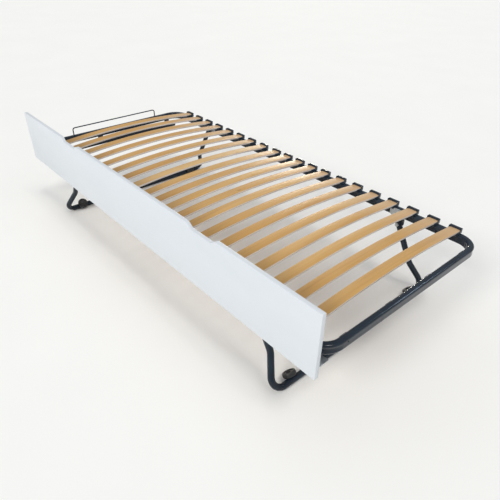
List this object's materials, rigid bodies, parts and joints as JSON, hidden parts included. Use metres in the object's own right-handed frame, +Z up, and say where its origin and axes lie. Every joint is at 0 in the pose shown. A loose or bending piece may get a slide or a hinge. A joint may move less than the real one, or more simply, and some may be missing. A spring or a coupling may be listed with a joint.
{
  "type": "folding slatted guest bed base",
  "caption": "Low pull-out slatted bed base: oval-tube frame with sprung wooden slats, a white front panel with hand notches, and U-shaped folding legs with small wheels.",
  "frame": {"origin": "on the floor under the middle of the outer box, legs opened", "axes": "+X along the bed towards the foot end, away from the wire stop; +Y from the front panel to the back; +Z up"},
  "size_m": [2.012, 0.9216, 0.498],
  "materials": {
    "enamelled_tube": "dark slate powder enamel, satin gloss",
    "white_lacquer": "cool white lacquer over board",
    "birch_veneer": "clear lacquered bent birch veneer",
    "black_plastic": "moulded black plastic",
    "zinc_steel": "zinc plated pressed steel",
    "wheel_plastic": "black moulded wheel"
  },
  "bodies": {
    "frame": {"side_rail_front": "enamelled_tube", "side_rail_back": "enamelled_tube", "end_bow_head": "enamelled_tube", "end_bow_foot": "enamelled_tube", "end_brace_head": "enamelled_tube", "end_brace_foot": "enamelled_tube", "wire_stop": "enamelled_tube", "front_panel": "white_lacquer", "panel_bracket_1": "zinc_steel", "panel_bracket_2": "zinc_steel", "panel_bracket_3": "zinc_steel", "panel_bracket_4": "zinc_steel", "slat_01": "birch_veneer", "slat_02": "birch_veneer", "slat_03": "birch_veneer", "slat_04": "birch_veneer", "slat_05": "birch_veneer", "slat_06": "birch_veneer", "slat_07": "birch_veneer", "slat_08": "birch_veneer", "slat_09": "birch_veneer", "slat_10": "birch_veneer", "slat_11": "birch_veneer", "slat_12": "birch_veneer", "slat_13": "birch_veneer", "slat_14": "birch_veneer", "slat_15": "birch_veneer", "slat_16": "birch_veneer", "slat_17": "birch_veneer", "slat_18": "birch_veneer", "slat_19": "birch_veneer", "slat_20": "birch_veneer", "slat_holders_front": "black_plastic", "slat_holders_back": "black_plastic", "leg_bracket_head_front": "zinc_steel", "leg_bracket_head_back": "zinc_steel", "leg_bracket_foot_front": "zinc_steel", "leg_bracket_foot_back": "zinc_steel", "pivot_bolt_head_front": "zinc_steel", "pivot_bolt_head_back": "zinc_steel", "pivot_bolt_foot_front": "zinc_steel", "pivot_bolt_foot_back": "zinc_steel"},
    "leg_head": {"leg_head": "enamelled_tube", "wheel_axle_head_front": "zinc_steel", "wheel_axle_head_back": "zinc_steel"},
    "leg_foot": {"leg_foot": "enamelled_tube", "wheel_axle_foot_front": "zinc_steel", "wheel_axle_foot_back": "zinc_steel"},
    "wheel_head_front": {"wheel_head_front": "wheel_plastic"},
    "wheel_head_back": {"wheel_head_back": "wheel_plastic"},
    "wheel_foot_front": {"wheel_foot_front": "wheel_plastic"},
    "wheel_foot_back": {"wheel_foot_back": "wheel_plastic"}
  },
  "joints": [
    {"name": "leg_fold_head", "type": "hinge", "parent": "frame", "child": "leg_head", "pos_m": [-0.657, 0.0146, 0.278], "axis": [0, 1, 0], "range_deg": [0, 50]},
    {"name": "leg_fold_foot", "type": "hinge", "parent": "frame", "child": "leg_foot", "pos_m": [0.671, 0.0146, 0.278], "axis": [0, -1, 0], "range_deg": [0, 50]},
    {"name": "wheel_spin_head_front", "type": "hinge", "parent": "leg_head", "child": "wheel_head_front", "pos_m": [-0.79203, -0.3404, 0.03046], "axis": [-0.6428, 0, -0.766], "continuous": true},
    {"name": "wheel_spin_head_back", "type": "hinge", "parent": "leg_head", "child": "wheel_head_back", "pos_m": [-0.79203, 0.3696, 0.03046], "axis": [-0.6428, 0, -0.766], "continuous": true},
    {"name": "wheel_spin_foot_front", "type": "hinge", "parent": "leg_foot", "child": "wheel_foot_front", "pos_m": [0.80603, -0.3404, 0.03046], "axis": [0.6428, 0, -0.766], "continuous": true},
    {"name": "wheel_spin_foot_back", "type": "hinge", "parent": "leg_foot", "child": "wheel_foot_back", "pos_m": [0.80603, 0.3696, 0.03046], "axis": [0.6428, 0, -0.766], "continuous": true}
  ]
}
